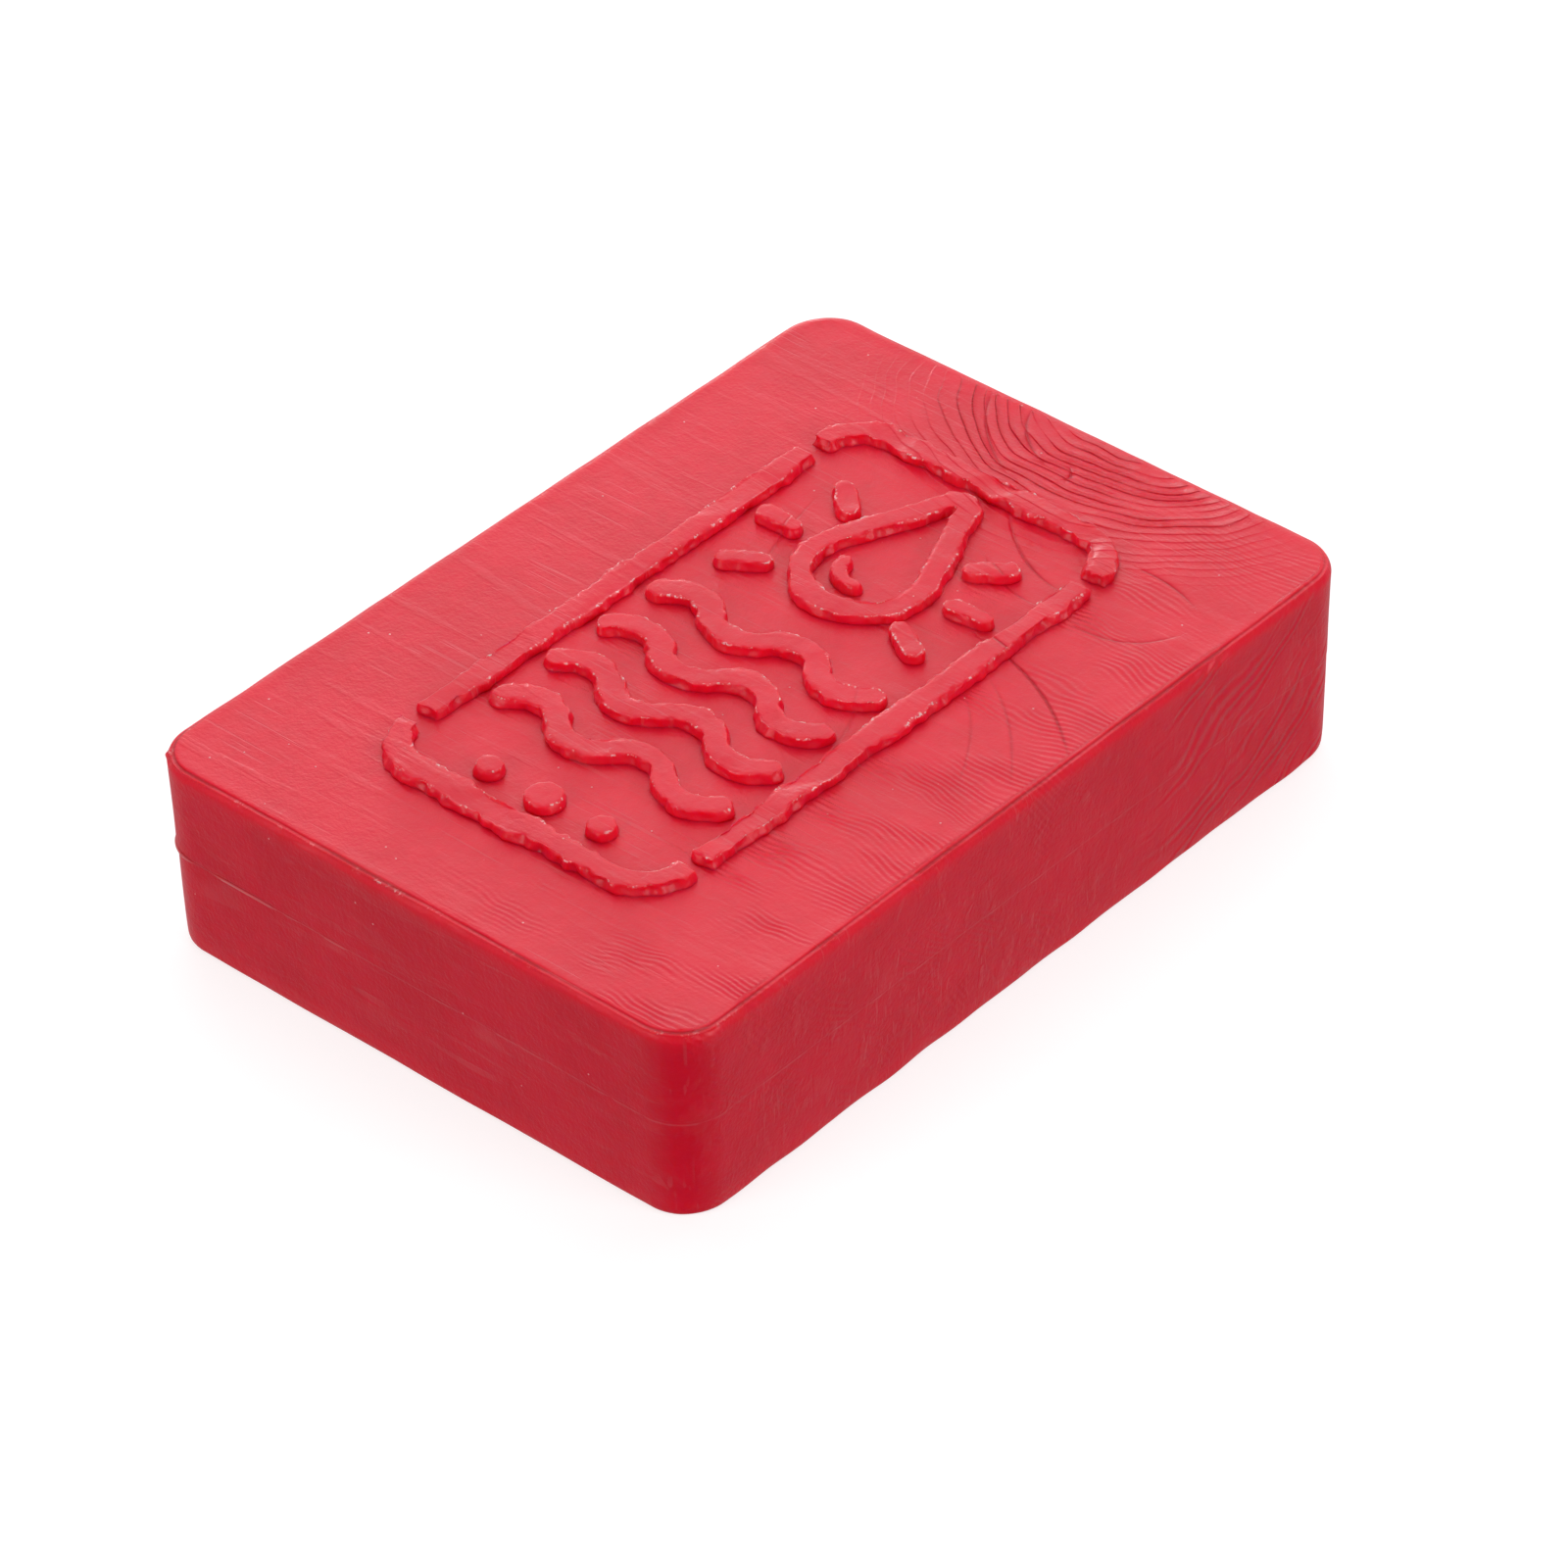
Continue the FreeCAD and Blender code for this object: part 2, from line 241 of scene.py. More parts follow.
only(block)
bpy.ops.object.mode_set(mode="EDIT")
bpy.ops.mesh.select_mode(type="EDGE")
bpy.ops.mesh.select_all(action="SELECT")
bpy.ops.mesh.region_to_loop()
depth = 0.0
for level in levels():
    bpy.ops.mesh.extrude_region_move(TRANSFORM_OT_translate={"value": (0, 0, depth - level)})
    depth = level
for share in UNDERSIDE_SHARES:
    bpy.ops.mesh.extrude_region_move()
    bpy.ops.transform.resize(value=(share, share, 1), center_override=(0, 0, 0))
bpy.ops.mesh.edge_face_add()
bpy.ops.mesh.select_all(action="SELECT")
bpy.ops.mesh.normals_make_consistent(inside=False)
bpy.ops.object.mode_set(mode="OBJECT")
print("rings", len(levels()), "triangles", triangles(block))


# %% Push each ring out to the mould's profile
TOLERANCE = 0.01 * MM


def from_core(co):
    """The level direction that leads out of the block, and how far out of its core a point is."""
    flat = co[:, :2].copy()
    flat[:, 0] -= np.clip(flat[:, 0], -core_x, core_x)
    flat[:, 1] -= np.clip(flat[:, 1], -core_y, core_y)
    length = np.linalg.norm(flat, axis=1)
    return flat / np.maximum(length, 1e-9)[:, None], length


co = read_points(block)
outward, distance = from_core(co)
on_wall = distance > flat_corner - TOLERANCE
under_top = np.clip(TOP_Z - co[:, 2], 0, TOP_ROUND)
over_foot = np.clip(FOOT_ROUND - co[:, 2], 0, FOOT_ROUND)
rim_reach = np.sqrt(np.maximum(TOP_ROUND**2 - (TOP_ROUND - under_top) ** 2, 0))
foot_reach = FOOT_ROUND - np.sqrt(np.maximum(FOOT_ROUND**2 - over_foot**2, 0))
reach = rim_reach - foot_reach - LEAN * (TOP_Z - co[:, 2])
co[:, :2] += outward * np.where(on_wall, reach, 0)[:, None]
write_points(block, co)
only(block)
bpy.ops.object.shade_smooth()
low, high = co.min(0), co.max(0)
print("block skin", [round(v / MM, 2) for v in (*low, *high)])


# %% [markdown]
# ## Marks in the skin
# The clay was wrapped in thin film while it was soft. The film left U-shaped folds near the
# far edge, long creases, very fine ripples along the right edge, and soft arcs on the right
# wall. The broad part of each mark is real shape here. Its sharp part is finer than the
# grid, so the grid only carries a phase and a depth for it, as attributes, and the material
# turns them into a fine bump. Inside these functions x, y and z are in millimetres.

# %% Fold lines near the far edge
FOLD_CENTRE = (3.0, 44.0)
FOLD_SPACING = 1.0
FOLD_RISE = 0.19
FOLD_SINK = 0.05
FILM_LEVEL = 16.2


def folds(co):
    """Phase and depth of the U-shaped folds: one turn of phase from fold to fold."""
    x, y, z = (co / MM).T
    radius = np.hypot((x - FOLD_CENTRE[0]) * 0.95, y - FOLD_CENTRE[1])
    angle = np.arctan2(x - FOLD_CENTRE[0], FOLD_CENTRE[1] - y)
    flat = co * (1, 1, 0)
    phase = radius / FOLD_SPACING + 1.6 * wander(flat, 9 * MM, 1) + 0.45 * wander(flat, 3.2 * MM, 2)
    along_arc = np.stack([angle * 1.6, radius / 1.3, np.zeros_like(x)], axis=1)
    patches = wander(along_arc, 1.0, 3)
    thinner = 1 - 0.75 * ease(14.5, 18.5, radius)
    band = ease(6.2, 8.5, radius) * thinner * (1 - ease(20, 25, radius))
    depth = band * ease(-0.75, 0.05, patches) * (1 - ease(0.85, 1.3, np.abs(angle)))
    return phase, np.where(z > FILM_LEVEL, depth, 0)


def fold_profile(phase):
    """Each fold swells slowly and drops suddenly, like an overlapping scale."""
    share = phase % 1
    return share**2.5 * (1 - ease(0.82, 1.0, share))


# %% [markdown]
# ## Creases
# Where the film was pinched it left single long lines. Each one is a curve that bends once,
# given by its start, the point it bends towards, its end and its depth. Such a curve is
# easy to place, and every vertex then only needs its distance to the nearest one.

# %% Long single creases
FAR_AWAY = 9.0
CURVE_POINTS = 25


def nearest_line(points, lines):
    """Signed distance to the nearest of these smooth lines, and that line's strength, in mm."""
    best = np.full(len(points), FAR_AWAY)
    strength = np.zeros(len(points))
    t = np.linspace(0, 1, CURVE_POINTS)[:, None]
    for a, b, c, deep in lines:
        a, b, c = (np.array(p, float) for p in (a, b, c))
        path = (1 - t) ** 2 * a + 2 * t * (1 - t) * b + t**2 * c
        for k in range(len(path) - 1):
            along = path[k + 1] - path[k]
            span = np.linalg.norm(along)
            rel = points - path[k]
            share = np.clip(rel @ along / span**2, 0, 1)
            gap = rel - share[:, None] * along
            side = np.sign(along[0] * rel[:, 1] - along[1] * rel[:, 0])
            signed = side * np.linalg.norm(gap, axis=1)
            fade = deep * math.sin(math.pi * (k + 0.5) / (len(path) - 1)) ** 0.5
            closer = np.abs(signed) < np.abs(best)
            best = np.where(closer, signed, best)
            strength = np.where(closer, fade, strength)
    return best, strength


CREASES = [
    ((11.0, 12.0), (18.5, 11.5), (25.2, 5.4), 1.0),
    ((15.2, 8.6), (20.0, 6.0), (24.2, 0.2), 0.45),
    ((15.0, 6.0), (18.5, 3.5), (21.5, -2.5), 0.35),
    ((3.0, 25.2), (7.5, 20.6), (11.8, 20.2), 0.7),
    ((5.0, 20.0), (8.0, 17.8), (11.6, 17.6), 0.5),
    ((14.6, 26.0), (18.0, 26.4), (21.0, 25.0), 0.55),
    ((15.5, 17.6), (20.5, 17.0), (22.5, 21.5), 0.5),
    ((-8.0, 36.2), (-6.0, 32.0), (-1.0, 29.4), 0.8),
    ((-4.2, 36.4), (-3.0, 33.2), (1.2, 31.8), 0.8),
    ((2.6, 32.9), (4.0, 31.6), (3.4, 31.2), 1.0),
    ((-9.5, 17.5), (-8.5, 12.0), (-7.0, 8.6), 0.4),
    ((8.5, 1.6), (12.2, -3.0), (12.4, -9.0), 0.3),
]


def creases(co):
    """Signed distance to the nearest crease, and its depth there."""
    gap, deep = nearest_line(co[:, :2] / MM, CREASES)
    return np.clip(gap, -1.5, 1.5), deep * (1 - ease(0.45, 0.9, np.abs(gap)))


# %% Fine ripples along the right edge of the top
TOP_RIPPLE = 0.5
WALL_RIPPLE = 0.6
ARC_SPACING = 1.3
ARC_BOTTOM = 7.6
ARC_SPREAD = 54
ARC_START = 10.5


def ripple_patches(x, y, z):
    """Where the fine ripples show at all."""
    return ease(-0.3, 0.4, wander(np.stack([x / 7.0, y / 2.4, z / 4.0], axis=1), 1.0, 6))


def top_ripples(co):
    """Phase and depth of the ripples along the right edge and near the front end."""
    x, y, z = (co / MM).T
    phase = y / TOP_RIPPLE + 3.2 * wander(co, 8 * MM, 4) + 0.7 * wander(co, 2.2 * MM, 5)
    edge_strip = ease(12.5, 17, x) * (1 - 0.6 * ease(22, 26, y))
    front_strip = 0.5 * ease(-24, -31, y) * ease(-5, 8, x)
    return phase, np.clip(edge_strip + front_strip, 0, 1) * ripple_patches(x, y, z)


# %% Fine ripples and soft arcs on the right wall
def wall_ripples(co):
    """Phase and depth on the right wall: fine ripples in the near half, arcs in the far half."""
    x, y, z = (co / MM).T
    fine = (0.85 * y + 0.9 * z) / WALL_RIPPLE + 2.2 * wander(co, 6 * MM, 7)
    fine_depth = 0.5 * (1 - ease(3, 10, y)) * ripple_patches(x, y, z)
    arc = (z - (y - ARC_BOTTOM) ** 2 / ARC_SPREAD) / ARC_SPACING
    arc = arc + 1.5 * wander(co, 7 * MM, 16) + 0.4 * wander(co, 2 * MM, 19)
    arc_patches = wander(np.stack([arc * 0.8, y / 6, 0 * x], axis=1), 1.0, 17)
    arc_depth = 1.6 * ease(11, 19, y) * ease(-0.1, 0.3, arc_patches)
    far_half = y > ARC_START
    return np.where(far_half, arc, fine), np.where(far_half, arc_depth, fine_depth)


def ripples(co, on_right_wall):
    """Phase and depth of the ripples wherever a vertex lies."""
    phase, depth = top_ripples(co)
    wall_phase, wall_depth = wall_ripples(co)
    return np.where(on_right_wall, wall_phase, phase), np.where(on_right_wall, wall_depth, depth)


# %% Keep the numbers of the marks on the mesh
def store_film_marks(piece, co, on_top, on_right_wall):
    """Works out every film mark, keeps the numbers on the mesh and returns them by name."""
    marks = {}
    marks["fold_phase"], fold_depth = folds(co)
    marks["fold_depth"] = fold_depth * on_top
    marks["ripple_phase"], ripple_depth = ripples(co, on_right_wall)
    marks["ripple_depth"] = ripple_depth * np.maximum(on_top, on_right_wall)
    marks["crease_gap"], crease_depth = creases(co)
    marks["crease_depth"] = crease_depth * on_top
    for name, numbers in marks.items():
        store(piece, name, numbers)
    return marks


X, Y, Z = (co / MM).T
on_top = ~on_wall & (Z > 16)
on_right_wall = on_wall & (X > HALF_X / MM - 1.2)
marks = store_film_marks(block, co, on_top, on_right_wall)

# %% Shape the broad marks of the top
BROAD_WAVE = 0.035
FINE_WAVE = 0.012
TOP_SUNK = 0.05
CREASE_SINK = 0.08
CREASE_BANK = 0.04
lift = BROAD_WAVE * wander(co, 11 * MM, 8) + FINE_WAVE * wander(co, 3 * MM, 9) - TOP_SUNK
lift += marks["fold_depth"] * (FOLD_RISE * fold_profile(marks["fold_phase"]) - FOLD_SINK)
crease_gap = marks["crease_gap"]
lift -= CREASE_SINK * marks["crease_depth"] * bump_at(crease_gap, 0.25)
lift += CREASE_BANK * marks["crease_depth"] * bump_at(np.abs(crease_gap) - 0.5, 0.25)
edge_fade = ease(0, 1.2, (flat_corner - distance) / MM)
co[:, 2] += on_top * lift * edge_fade * MM
print("marks move the top by", round(lift[on_top].min(), 3), "to", round(lift[on_top].max(), 3), "mm")

# %% [markdown]
# ## The seam, the rim and the foot
# The two halves of the mould never close quite true. A thin fin of clay was squeezed out
# between them and broke off in dashes, with a dark slit above it, and one half stands out
# a little more than the other. The front left wall shows this most. The rim has a fine bead
# and a gutter where the film was pulled tight over it, and the foot sagged a little on the
# right. All of it is worked out as one push, outwards from the block, for each vertex.

# %% Fin, slit and step at the seam
FIN_SIZE = 0.19
SLIT_SIZE = 0.08
STEP_SIZE = 0.07
seam_gap = Z - SEAM_Z / MM
dashes = ease(-0.08, 0.1, wander(np.stack([X, Y, 0 * Z], axis=1), 2.2, 10))
front_left = ease(5, -24, X) * ease(-30, -37, Y)
fin = dashes * np.exp(-(((seam_gap + 0.03) / 0.09) ** 4)) * on_wall
slit = (0.3 + 0.7 * dashes) * bump_at(seam_gap - 0.14, 0.08) * on_wall
flash = (0.1 + 0.9 * front_left) * fin * FIN_SIZE
side_step = STEP_SIZE * (0.3 + 0.7 * front_left) * np.tanh(seam_gap / 0.05)
side_step = side_step * np.exp(-np.abs(seam_gap) / 1.5)
push = flash + side_step - SLIT_SIZE * slit * (0.3 + 0.7 * front_left)

# %% Bead and gutter along the rim
RIM_MARK = 0.06
rim_turn = np.degrees(np.arccos(np.clip(1 - (TOP_Z / MM - Z) / (TOP_ROUND / MM), -1, 1)))
on_front = ease(-30, -37, Y)
on_right = ease(22, 26, X)
rim_strength = 0.45 + 0.55 * ease(-0.25, 0.3, wander(co * (1, 1, 0), 4 * MM, 15))
rim_strength *= 0.25 + 0.75 * np.maximum(on_front, on_right)
rim_strength *= on_wall * (Z > (TOP_Z - TOP_ROUND) / MM)
rim_line = bump_at(rim_turn - 40, 10) - 0.8 * bump_at(rim_turn - 20, 9)
rim_shift = RIM_MARK * rim_strength * rim_line

# %% Uneven walls, rim and foot
WALL_WAVE = 0.05
RIM_WAVE = 0.07
RIM_SAG = 0.04
FOOT_WAVE = 0.06
RIGHT_FOOT_WAVE = 0.11
rim_band = bump_at(TOP_Z / MM - 0.5 - Z, 0.7)
foot_band = bump_at(Z, 1.1)
right_side = ease(24, 26, X)
push += WALL_WAVE * wander(co, 9 * MM, 11) - WALL_WAVE
push += rim_band * RIM_WAVE * wander(co, 3.4 * MM, 12)
push += 0.7 * rim_shift
push += foot_band * (FOOT_WAVE + RIGHT_FOOT_WAVE * right_side) * (wander(co, 4.2 * MM, 13) - 0.3)
co[:, :2] += outward * (np.where(on_wall, push, 0) * MM)[:, None]
sag = rim_band * RIM_SAG * (wander(co, 2.8 * MM, 14) - 0.6)
co[:, 2] += np.where(on_wall, rim_shift + sag, 0) * MM
print("walls pushed by", round(push[on_wall].min(), 3), "to", round(push[on_wall].max(), 3), "mm")

# %% A torn flake at the left corner of the rim
FLAKE = np.array([-25.1, -36.1, 16.7])
TEAR_OFFSET = (0.5, -0.3, -0.15)
FLATTER = (1, 1, 1.3)
FLAKE_HEIGHT = 0.26
TEAR_DEPTH = 0.3
far_from_flake = np.linalg.norm((co / MM - FLAKE) * FLATTER, axis=1)
far_from_tear = np.linalg.norm((co / MM - FLAKE - TEAR_OFFSET) * FLATTER, axis=1)
torn = FLAKE_HEIGHT * bump_at(far_from_flake, 0.32) - TEAR_DEPTH * bump_at(far_from_tear, 0.3)
co += read_normals(block) * (torn * MM)[:, None]

# %% Where pale highlights are painted, and where a painted glow brightens the foot and rim
# Painted highlights: pale dashes along the rim's bead and a pale spot on the torn flake.
glint_dashes = ease(0.1, 0.4, wander(co * (1, 1, 0), 1.3 * MM, 18))
rim_glint = rim_strength * bump_at(rim_turn - 36, 8) * glint_dashes * (0.2 + 0.8 * on_front)
painted_glint = 0.7 * rim_glint + bump_at(far_from_flake, 0.3)
# Painted glow: the foot and a band under the rim are coloured brighter red, as if lit through thin clay.
painted_glow = bump_at(Z, 1.3) + 0.5 * bump_at(TOP_Z / MM - 0.6 - Z, 0.6)
# The material paints a highlight on the fin and shade into the slit.
for name, numbers in (
    ("painted_glint", np.clip(painted_glint, 0, 1)),
    ("fin", fin * (0.15 + 0.85 * front_left)),
    ("painted_glow", on_wall * painted_glow),
    ("slit", slit * (0.12 + 0.88 * front_left)),
    ("rim_turn", rim_turn),
    ("rim_strength", rim_strength),
):
    store(block, name, numbers)

# %% Keep the skin inside the CAD box
# The few crests that would rise above the CAD face are cut level with it.
co = np.clip(co, (-HALF_X, -HALF_Y, 0), (HALF_X, HALF_Y, TOP_Z))
write_points(block, co)
print("block triangles", triangles(block))


# %% [markdown]
# ## The emblem's ridges
# Each ridge stands up from the top face and was cast with it, so its sides are steep, its
# edges are soft and its outline wanders a little. A copy of the CAD ridge is the start. It
# gets a root below the surface, is remeshed finely, smoothed, and then worked by noise.

# %% Make one ridge from its CAD nodes
ROOT = 1.0 * MM
VOXEL = 0.12 * MM


def copy_nodes(name, nodes):
    """One new piece made of copies of these CAD nodes, without their marks and materials."""
    bpy.ops.object.select_all(action="DESELECT")
    for node in nodes:
        frame["nodes"][node].select_set(True)
    bpy.context.view_layer.objects.active = frame["nodes"][nodes[0]]
    bpy.ops.object.duplicate()
    if len(nodes) > 1:
        bpy.ops.object.join()
    piece = bpy.context.active_object
    piece.name = name
    piece.parent = None
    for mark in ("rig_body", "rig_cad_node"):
        if mark in piece:
            del piece[mark]
    piece.data.materials.clear()
    return piece


def add_root(piece):
    """Merges the loose triangles and pulls the underside down into the block."""
    only(piece)
    bpy.ops.object.mode_set(mode="EDIT")
    bpy.ops.mesh.select_mode(type="VERT")
    bpy.ops.mesh.select_all(action="SELECT")
    bpy.ops.mesh.remove_doubles(threshold=0.001 * MM)
    bpy.ops.mesh.select_all(action="DESELECT")
    bpy.ops.object.mode_set(mode="OBJECT")
    for vertex in piece.data.vertices:
        vertex.select = vertex.co.z < TOP_Z + 0.1 * MM
    bpy.ops.object.mode_set(mode="EDIT")
    bpy.ops.transform.translate(value=(0, 0, -ROOT))
    bpy.ops.object.mode_set(mode="OBJECT")


def modifier(piece, kind, **settings):
    """Adds a modifier, sets it and applies it."""
    only(piece)
    added = piece.modifiers.new(kind.title(), kind)
    for key, setting in settings.items():
        setattr(added, key, setting)
    bpy.ops.object.modifier_apply(modifier=added.name)


# %% Wear a ridge down by noise
SMOOTHING_ROUNDS = 12
OUTLINE_WAVE = 0.26
OUTLINE_NICKS = 0.15
FLARE = 0.2
SLIMMING = 0.02
WORN = 0.11
RIDGE_SUNK = 0.06
EDGE_NICKS = 0.11
RIDGE_FOLD_RISE = 0.12
RIDGE_FOLD_SINK = 0.04


def wear_down(piece, seed, ragged):
    """Shapes the sides, the flat top and the edges, and stores the marks for the material."""
    co, normal = read_points(piece), read_normals(piece)
    level = (co[:, 2] - TOP_Z) / MM
    shown = ease(-0.3, 0.1, level)
    waves = OUTLINE_WAVE * wander(co, 3.0 * MM, seed) + OUTLINE_NICKS * wander(co, 0.9 * MM, seed + 1)
    push = ragged * waves + FLARE * (1 - np.clip(level / 0.8, 0, 1)) ** 1.5 - SLIMMING
    co[:, :2] += normal[:, :2] * (push * shown * MM)[:, None]
    flat = ease(0.4, 0.9, normal[:, 2]) * ease(0.2, 0.5, level)
    worn = WORN * ragged * ease(0.05, 0.6, wander(co, 4.5 * MM, seed + 5))
    dents = 0.03 * wander(co, 1.8 * MM, seed + 2) + 0.012 * wander(co, 0.5 * MM, seed + 3)
    marks = store_film_marks(piece, co, flat, np.zeros(len(co)))
    folded = RIDGE_FOLD_RISE * fold_profile(marks["fold_phase"]) - RIDGE_FOLD_SINK
    dents += marks["fold_depth"] * folded
    facing_up = ease(0.05, 0.35, normal[:, 2]) * (1 - ease(0.75, 0.95, normal[:, 2]))
    edge = facing_up * ease(0.4, 0.7, level)
    # Painted glints: pale dots along the ridge's upper edges.
    store(piece, "painted_glint", edge * ease(-0.05, 0.25, wander(co, 1.3 * MM, seed + 6)))
    co += normal * (edge * EDGE_NICKS * wander(co, 0.42 * MM, seed + 4) * MM)[:, None]
    co[:, 2] += flat * (dents - worn - RIDGE_SUNK) * MM
    co[:, 2] = np.minimum(co[:, 2], RELIEF_TOP)
    write_points(piece, co)


# %% Make one ridge from start to end
def ridge(name, nodes, seed, ragged):
    """A finished ridge in place of these CAD nodes. Ragged says how rough its outline is."""
    piece = copy_nodes(name, nodes)
    add_root(piece)
    modifier(piece, "REMESH", mode="VOXEL", voxel_size=VOXEL)
    modifier(piece, "SMOOTH", factor=0.5, iterations=SMOOTHING_ROUNDS)
    wear_down(piece, seed, ragged)
    only(piece)
    bpy.ops.object.shade_smooth()
    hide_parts(*nodes)
    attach(piece, "root")
    print(name, "triangles", triangles(piece))
    return piece


# %% Cast all the ridges
RELIEF_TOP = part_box("far_rail")[1].z - 0.01 * MM
RIDGES = [
    ("border_far", ["far_rail", "far_left_corner", "far_right_corner"], 2.4),
    ("border_near", ["near_rail", "near_left_corner", "near_right_corner"], 2.4),
    ("border_left", ["left_rail"], 1.6),
    ("border_right", ["right_rail"], 1.9),
    ("drop", ["drop_left", "drop_right"], 1.5),
    ("highlight", ["highlight"], 0.8),
]
for side in ("left", "right"):
    for height in ("low", "mid", "high"):
        RIDGES.append((f"shine_{side}_{height}", [f"shine_{side}_{height}"], 1.3))
for number in (1, 2, 3, 4):
    RIDGES.append((f"wave_{number}", [f"wave_{number}"], 1.6))
for side in ("left", "middle", "right"):
    RIDGES.append((f"bubble_{side}", [f"bubble_{side}"], 0.8))
FIRST_SEED = 20
SEED_STEP = 5
ridges = []
for i, (name, nodes, ragged) in enumerate(RIDGES):
    ridges.append(ridge(name + "_ridge", nodes, FIRST_SEED + SEED_STEP * i, ragged))
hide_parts("lower_slab", "upper_slab")
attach(block, "root")
print("ridges", len(ridges), "triangles", sum(triangles(piece) for piece in ridges))


# %% [markdown]
# ## The clay
# Detailing clay is a waxy red mass. Light goes a millimetre or two into it, so thin edges
# glow and shadows are soft. Its skin is satin, with a haze of fine grain, faint scratches and
# smears, tiny air bubbles and the prints of the film. Painted images could show all that,
# but nodes stay sharp at any distance and follow the shape, so the whole finish is nodes.

# %% A small kit for wiring shader nodes
class Wiring:
    """Adds nodes to a material and connects them."""

    def __init__(self, name):
        self.material = bpy.data.materials.new(name)
        self.material.use_nodes = True
        self.tree = self.material.node_tree
        self.tree.nodes.clear()

    def add(self, kind, inputs=(), **settings):
        """A new node. An input is either another node's socket or a plain value."""
        made = self.tree.nodes.new("ShaderNode" + kind)
        for key, setting in settings.items():
            setattr(made, key, setting)
        for key, value in dict(inputs).items():
            if isinstance(value, bpy.types.NodeSocket):
                self.tree.links.new(value, made.inputs[key])
            else:
                made.inputs[key].default_value = value
        return made

    def math(self, operation, *values, clamp=False):
        made = self.add("Math", dict(enumerate(values)), operation=operation, use_clamp=clamp)
        return made.outputs[0]

    def attribute(self, name):
        return self.add("Attribute", attribute_name=name).outputs["Fac"]

    def noise(self, where, size, detail=2.0, roughness=0.5, distortion=0.0):
        settings = {"Vector": where, "Scale": 1 / size, "Detail": detail}
        settings.update({"Roughness": roughness, "Distortion": distortion})
        return self.add("TexNoise", settings).outputs["Fac"]

    def blend(self, under, over, share):
        settings = {"Factor": share, "A": under, "B": over}
        return self.add("Mix", settings, data_type="RGBA").outputs["Result"]

    def stretch(self, where, angles, scale):
        made = self.add("Mapping", {"Vector": where, "Rotation": angles, "Scale": scale})
        return made.outputs["Vector"]

    def ramp(self, value, low, high, to_low=0.0, to_high=1.0):
        settings = {"Value": value, "From Min": low, "From Max": high}
        settings.update({"To Min": to_low, "To Max": to_high})
        return self.add("MapRange", settings, interpolation_type="SMOOTHSTEP").outputs["Result"]


def total(wiring, *values):
    """The sum of these sockets."""
    result = values[0]
    for value in values[1:]:
        result = wiring.math("ADD", result, value)
    return result


def weighted(wiring, values, weights):
    """The sum of these named sockets, each times the weight of the same name."""
    parts = [wiring.math("MULTIPLY", value, weights[name]) for name, value in values.items()]
    return total(wiring, *parts)


# %% [markdown]
# ## The sharp part of each mark
# The mesh brings a phase, a gap or an angle to every point, and these vary smoothly, so they
# survive being stored on a coarse grid. The nodes turn them into sharp lines: a sawtooth for
# the folds, a sine for the ripples, and a narrow bell for a crease, the rim and the slit.

# %% The marks that only show as bump
FILM_HEIGHTS = {"fold": 0.31, "ripple": 0.036, "crease": -0.13, "bead": 0.09, "gutter": -0.07}
GUTTER_SHADE = 1.3
SLIT_SHADE = 0.8


def bell(w, value, middle, width):
    """1 at the middle and falling off to both sides over about this width."""
    gap = w.math("DIVIDE", w.math("SUBTRACT", value, middle), width)
    return w.math("EXPONENT", w.math("MULTIPLY", w.math("MULTIPLY", gap, gap), -1.0))


def film_marks(w):
    """Height in mm of the folds, creases, ripples and rim line, and how much painted shade darkens their
    grooves and the slit.
    """
    share = w.math("FRACT", w.attribute("fold_phase"))
    fold_depth = w.attribute("fold_depth")
    profile = w.math("MULTIPLY", w.math("POWER", share, 2.5), w.ramp(share, 0.86, 1.0, 1.0, 0.0))
    fold = w.math("MULTIPLY", profile, fold_depth)
    drop = w.math("MULTIPLY", bell(w, share, 0.96, 0.08), w.ramp(fold_depth, 0.22, 0.85))
    turns = w.math("MULTIPLY", w.attribute("ripple_phase"), 2 * math.pi)
    ripple = w.math("MULTIPLY", w.math("SINE", turns), w.attribute("ripple_depth"))
    on_crease = bell(w, w.attribute("crease_gap"), 0.0, 0.11)
    crease = w.math("MULTIPLY", on_crease, w.attribute("crease_depth"))
    turn, strength = w.attribute("rim_turn"), w.attribute("rim_strength")
    bead = w.math("MULTIPLY", bell(w, turn, 38.0, 6.0), strength)
    gutter = w.math("MULTIPLY", bell(w, turn, 21.0, 7.5), strength)
    shapes = {"fold": fold, "ripple": ripple, "crease": crease, "bead": bead, "gutter": gutter}
    height = weighted(w, shapes, FILM_HEIGHTS)
    # Painted shade: the fold drops, creases, the gutter and the slit are darkened in colour.
    shade_lines = total(
        w,
        w.math("MAXIMUM", drop, crease),
        w.math("MULTIPLY", gutter, GUTTER_SHADE),
        w.math("MULTIPLY", w.attribute("slit"), SLIT_SHADE),
    )
    groove_shade = w.math("MINIMUM", shade_lines, 1.0)
    return height, groove_shade


def scratches(w, where, angle, threshold):
    """Long thin streaks in one direction: 1 on a streak and 0 elsewhere."""
    streaked = w.stretch(where, (0.0, 0.0, angle), (90.0, 3200.0, 600.0))
    line = w.noise(streaked, 1.0, 0.0)
    spread = w.ramp(w.noise(where, 9 * MM, 1.0), 0.5, 0.62)
    return w.math("MULTIPLY", w.ramp(line, threshold, threshold + 0.06), spread)


def smears(w, where):
    """Broad soft strokes in two directions, left by a hand that wiped the clay."""
    one = w.noise(w.stretch(where, (0.0, 0.0, 0.95), (60.0, 520.0, 300.0)), 1.0, 3.0, 0.6, 0.4)
    two = w.noise(w.stretch(where, (0.0, 0.0, -0.35), (70.0, 600.0, 300.0)), 1.0, 3.0, 0.6, 0.4)
    return w.math("MAXIMUM", w.ramp(one, 0.54, 0.72), w.ramp(two, 0.56, 0.74))


